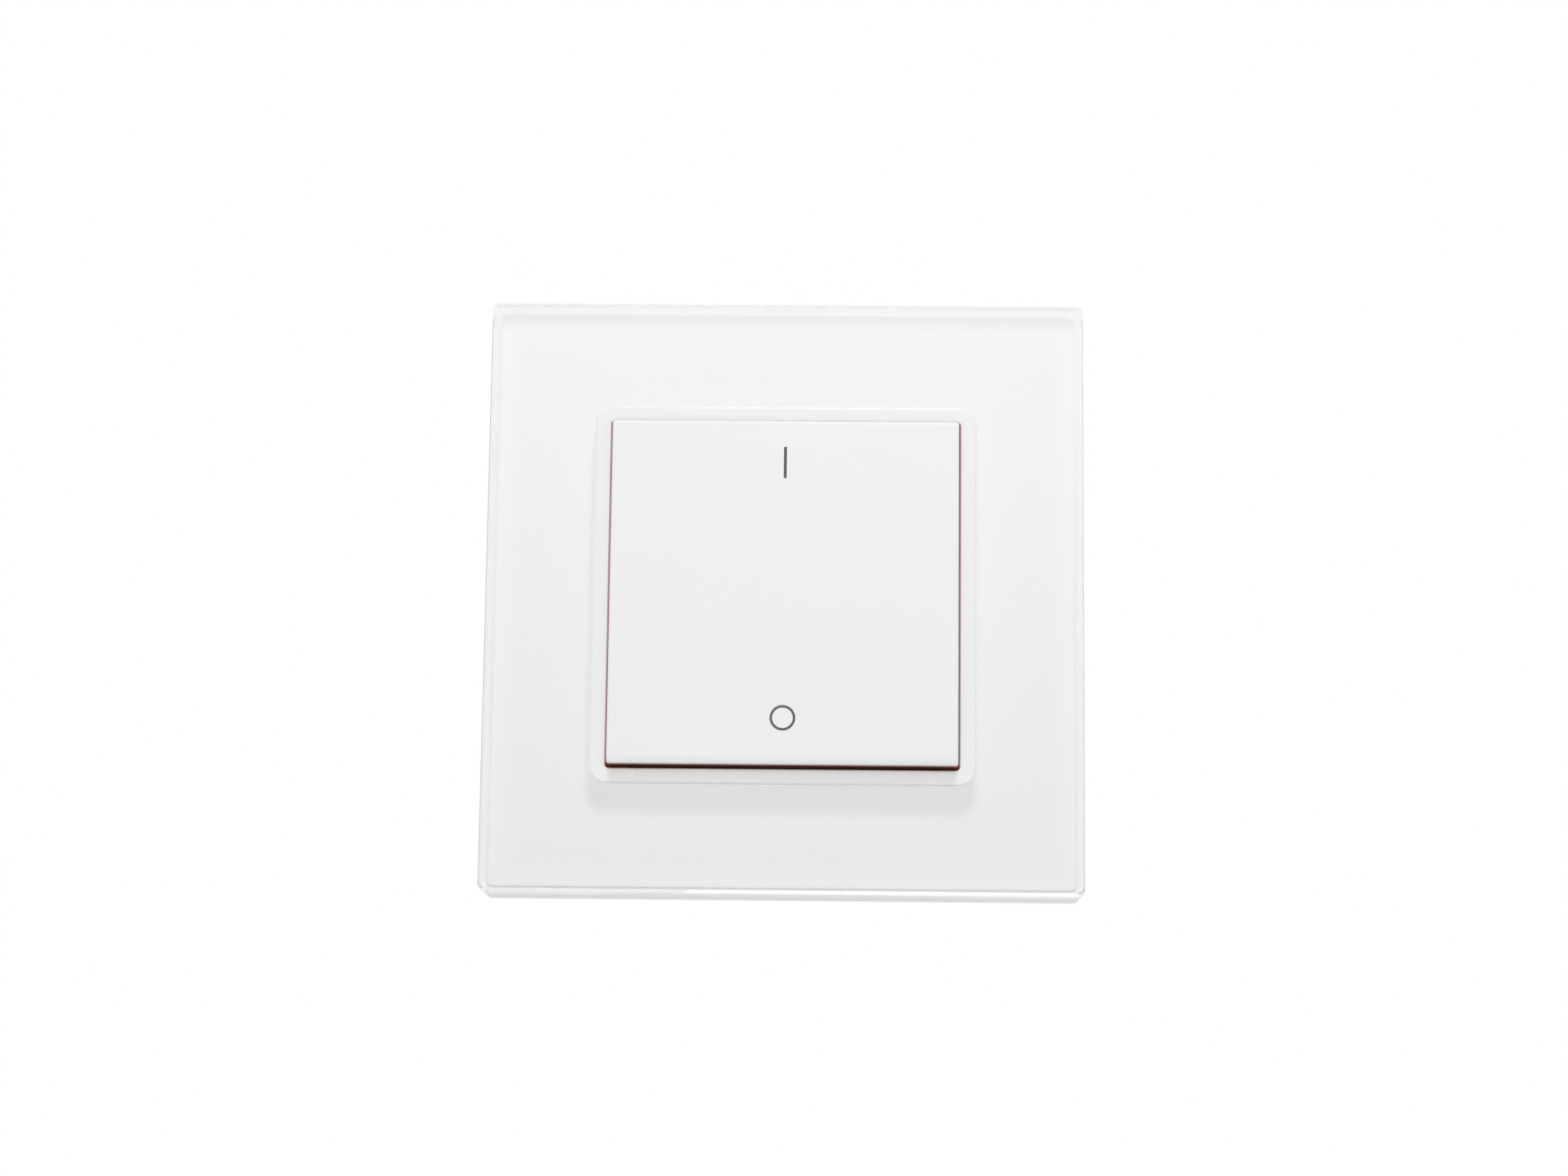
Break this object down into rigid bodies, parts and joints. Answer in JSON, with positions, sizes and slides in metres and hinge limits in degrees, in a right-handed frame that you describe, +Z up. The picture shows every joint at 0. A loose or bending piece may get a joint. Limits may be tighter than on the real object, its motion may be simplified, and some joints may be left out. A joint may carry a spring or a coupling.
{
  "type": "wireless dimmer switch",
  "caption": "Wall-mounted wireless rocker dimmer: a square glass frame round a tilting rocker that presses key switches of a battery radio module.",
  "frame": {"origin": "centre of the wall plate's back, in the plane of the wall, midway between its screw holes", "axes": "+Z up as it hangs, -Y out of the wall towards the user, +X to the right as the user sees it"},
  "size_m": [0.086, 0.014, 0.086],
  "materials": {
    "rocker_plastic": "white ABS, fine satin texture",
    "ring_plastic": "white ABS, smooth",
    "carrier_plastic": "white ABS, satin",
    "clear_glass": "clear tempered glass, polished bevel",
    "white_enamel": "white enamel fired on the back of the glass",
    "tape_foam": "white double-sided foam tape",
    "pad_foam": "white foam pad with backing paper",
    "wall_plate_plastic": "light grey polycarbonate",
    "module_plastic": "dark polycarbonate, spark-eroded texture",
    "zinc_steel": "zinc-plated steel",
    "board_resin": "green solder mask on glass-fibre board",
    "switch_plastic": "black heat-proof plastic",
    "plunger_plastic": "brown heat-proof plastic",
    "silicone": "translucent grey silicone rubber",
    "button_plastic": "grey ABS",
    "led_resin": "clear cast resin",
    "guide_acrylic": "clear acrylic",
    "chip_resin": "black moulding resin",
    "can_nickel": "nickel-plated can",
    "tank_resin": "amber moulding resin",
    "tinned_copper": "tinned copper wire",
    "cell_steel": "nickel-plated steel can",
    "spring_bronze": "plated phosphor bronze"
  },
  "bodies": {
    "base": {"wall_plate": "wall_plate_plastic", "adhesive_pads": "pad_foam", "carrier_frame": "carrier_plastic", "glass_tape": "tape_foam", "glass_back_coat": "white_enamel", "glass_plate": "clear_glass", "surround_ring": "ring_plastic", "module_housing": "module_plastic", "module_cover": "module_plastic", "cover_screws": "zinc_steel", "circuit_board": "board_resin", "upper_switch_body": "switch_plastic", "lower_switch_body": "switch_plastic", "learn_switch_body": "switch_plastic", "silicone_mat": "silicone", "status_led": "led_resin", "light_guide": "guide_acrylic", "radio_chip": "chip_resin", "crystal": "can_nickel", "tank_capacitor": "tank_resin", "antenna_wire": "tinned_copper", "coin_cell": "cell_steel", "positive_contact": "spring_bronze", "negative_contact": "spring_bronze"},
    "rocker": {"rocker_cap": "rocker_plastic"},
    "upper_plunger": {"upper_switch_plunger": "plunger_plastic"},
    "lower_plunger": {"lower_switch_plunger": "plunger_plastic"},
    "learn_key": {"learn_button": "button_plastic", "learn_switch_plunger": "plunger_plastic"}
  },
  "joints": [
    {"name": "rocker_tilt", "type": "hinge", "parent": "base", "child": "rocker", "pos_m": [0, -0.0095, 0], "axis": [1, 0, 0], "range_deg": [-3, 3], "stiffness_Nm_per_rad": 0.6, "deforming": ["silicone_mat"]},
    {"name": "upper_plunger_press", "type": "slide", "parent": "base", "child": "upper_plunger", "axis": [0, 1, 0], "range_m": [0, 0.00025], "stiffness_N_per_m": 4000},
    {"name": "lower_plunger_press", "type": "slide", "parent": "base", "child": "lower_plunger", "axis": [0, 1, 0], "range_m": [0, 0.00025], "stiffness_N_per_m": 4000},
    {"name": "learn_key_press", "type": "slide", "parent": "base", "child": "learn_key", "axis": [0, 1, 0], "range_m": [0, 0.00025], "stiffness_N_per_m": 4000}
  ]
}
